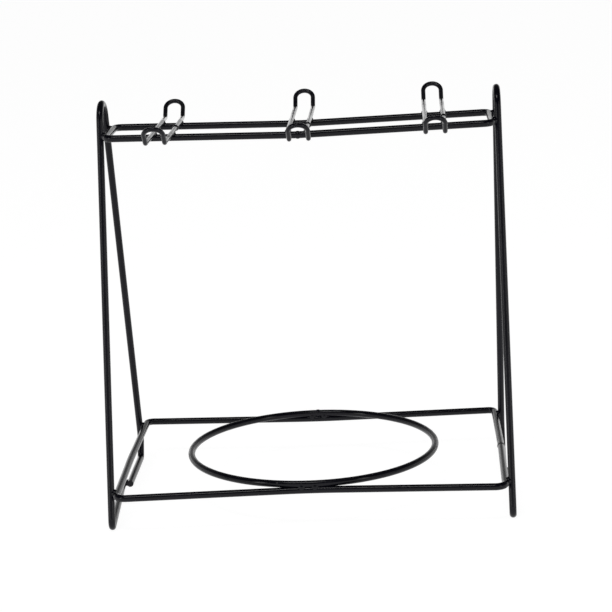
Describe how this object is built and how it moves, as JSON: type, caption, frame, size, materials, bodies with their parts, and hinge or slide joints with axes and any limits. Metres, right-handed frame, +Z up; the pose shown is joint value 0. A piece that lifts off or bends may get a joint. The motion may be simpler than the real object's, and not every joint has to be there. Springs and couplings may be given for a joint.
{
  "type": "mug tree",
  "caption": "Free-standing black wire rack on two A-shaped ends, with double-ended cup hooks across a top rack and a saucer ring in its base.",
  "frame": {"origin": "middle of the footprint, on the floor", "axes": "+X from the left side frame to the right one, +Y from front to back, +Z up"},
  "size_m": [0.2536, 0.1697, 0.252],
  "materials": {
    "coated_frame_wire": "gloss black coating on steel wire",
    "coated_hook_wire": "gloss black coating on thin steel wire",
    "coated_weld": "gloss black coating over weld beads"
  },
  "bodies": {
    "root": {"side_frame_left": "coated_frame_wire", "side_frame_right": "coated_frame_wire", "base_frame": "coated_frame_wire", "saucer_ring": "coated_frame_wire", "top_rack": "coated_frame_wire", "hook_left": "coated_hook_wire", "hook_center": "coated_hook_wire", "hook_right": "coated_hook_wire", "hook_welds": "coated_weld", "rack_welds": "coated_weld", "base_welds": "coated_weld", "ring_welds": "coated_weld", "foot_lap_welds": "coated_weld", "base_butt_weld": "coated_weld", "rack_butt_weld": "coated_weld", "ring_butt_weld": "coated_weld", "hook_butt_welds": "coated_weld"}
  },
  "joints": []
}
